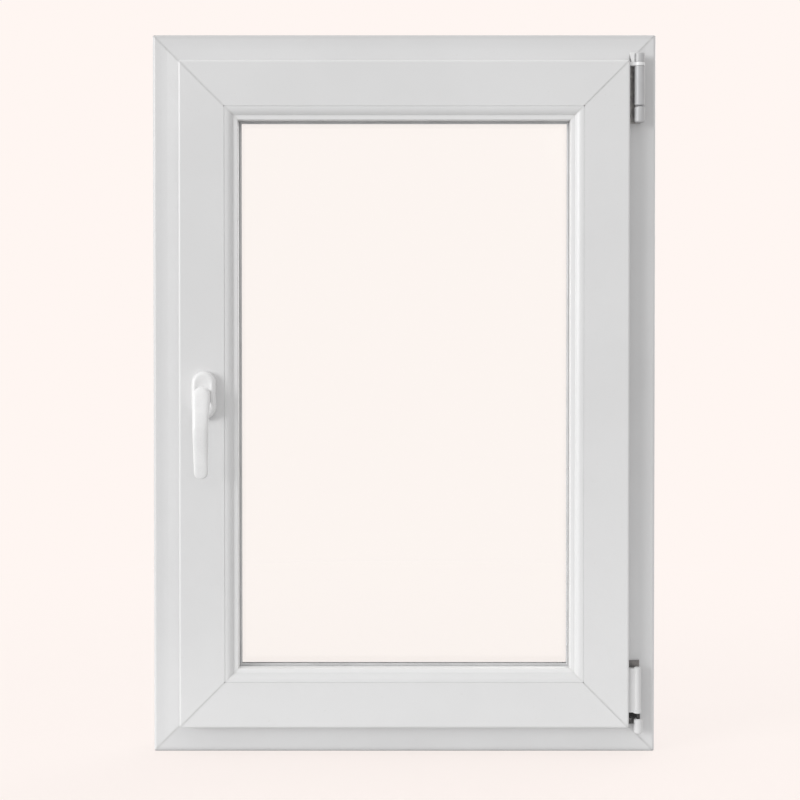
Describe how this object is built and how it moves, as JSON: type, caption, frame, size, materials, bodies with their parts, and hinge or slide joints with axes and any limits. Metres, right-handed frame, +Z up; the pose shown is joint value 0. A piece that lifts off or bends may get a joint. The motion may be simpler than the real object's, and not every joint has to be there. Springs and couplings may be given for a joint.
{
  "type": "pvc tilt-and-turn window",
  "caption": "White PVC tilt-and-turn window: mitred frame and lapping sash with beaded clear double glazing, a turning lever handle and side hinges.",
  "frame": {"origin": "middle of the frame's underside, at half the frame's depth", "axes": "+X along the sill to the right seen from the room, +Y from the room to the outside, +Z up"},
  "size_m": [0.7, 0.1441, 1],
  "materials": {
    "white_pvc": "satin white extrusion",
    "grey_seal": "matt grey seal",
    "clear_glass": "clear float glass",
    "spacer_aluminium": "mill finish",
    "white_handle": "satin white coating",
    "white_hinge": "satin white coating",
    "hinge_steel": "zinc plated",
    "white_cap": "moulded white"
  },
  "bodies": {
    "window": {"bottom_hinge_bearing": "white_hinge", "bottom_hinge_cover": "white_hinge", "bottom_hinge_pin": "hinge_steel", "bottom_hinge_plate": "hinge_steel", "drain_cap_left": "white_cap", "drain_cap_right": "white_cap", "frame_head": "white_pvc", "frame_jamb_left": "white_pvc", "frame_jamb_right": "white_pvc", "frame_sill": "white_pvc", "frame_stop_seal": "grey_seal", "glass_pane_outside": "clear_glass", "glass_pane_room": "clear_glass", "glass_spacer": "spacer_aluminium", "glazing_bead_bottom": "white_pvc", "glazing_bead_left": "white_pvc", "glazing_bead_right": "white_pvc", "glazing_bead_top": "white_pvc", "glazing_seal_outside": "grey_seal", "glazing_seal_room": "grey_seal", "handle_rosette": "white_handle", "sash_bottom_rail": "white_pvc", "sash_hinge_stile": "white_pvc", "sash_lap_seal": "grey_seal", "sash_lock_stile": "white_pvc", "sash_top_rail": "white_pvc", "top_hinge_barrel": "white_hinge", "top_hinge_foot": "white_hinge", "top_hinge_plate": "hinge_steel", "top_hinge_stay": "white_hinge"},
    "handle": {"handle_lever": "white_handle"}
  },
  "joints": [
    {"name": "handle_turn", "type": "hinge", "parent": "window", "child": "handle", "pos_m": [-0.2755, -0.068, 0.5], "axis": [0, -1, 0], "range_deg": [0, 180]}
  ]
}
